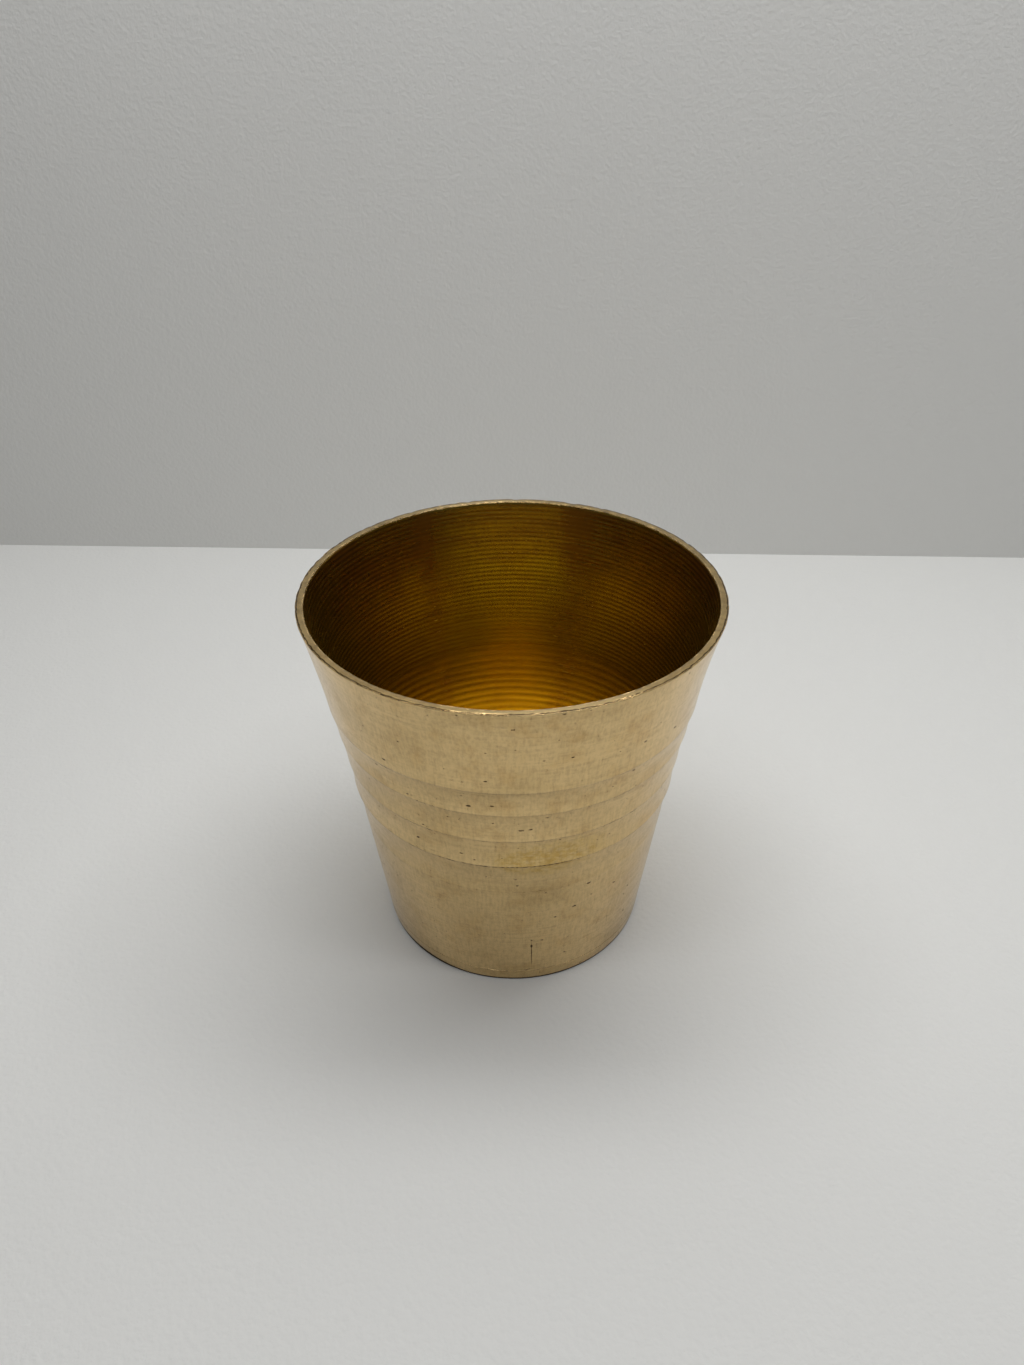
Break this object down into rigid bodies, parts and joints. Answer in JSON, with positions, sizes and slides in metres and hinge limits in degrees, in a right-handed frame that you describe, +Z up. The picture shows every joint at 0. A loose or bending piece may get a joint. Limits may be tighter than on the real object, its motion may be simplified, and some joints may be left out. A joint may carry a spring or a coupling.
{
  "type": "bar jigger",
  "caption": "Tapered turned brass measuring cup for spirits, with a thin flat rim, shallow hollow bands round its waist and a stepped base disc brazed into its foot.",
  "frame": {"origin": "centre of the flat foot, on the surface the cup stands on", "axes": "+Z up along the cup's axis, towards the rim; X and Y are equal, because the cup is round"},
  "size_m": [0.05, 0.05, 0.048],
  "materials": {
    "turned_brass": "pale yellow brass, satin polished outside over fine lathe lines and small casting pits; tarnished amber inside with open tool rings",
    "faced_brass": "faced brass with concentric tool rings, rubbed satin on the foot",
    "braze": "dull brazing metal, slightly uneven"
  },
  "bodies": {
    "root": {"cup_wall": "turned_brass", "base_disc": "faced_brass", "braze_fillet": "braze"}
  },
  "joints": []
}
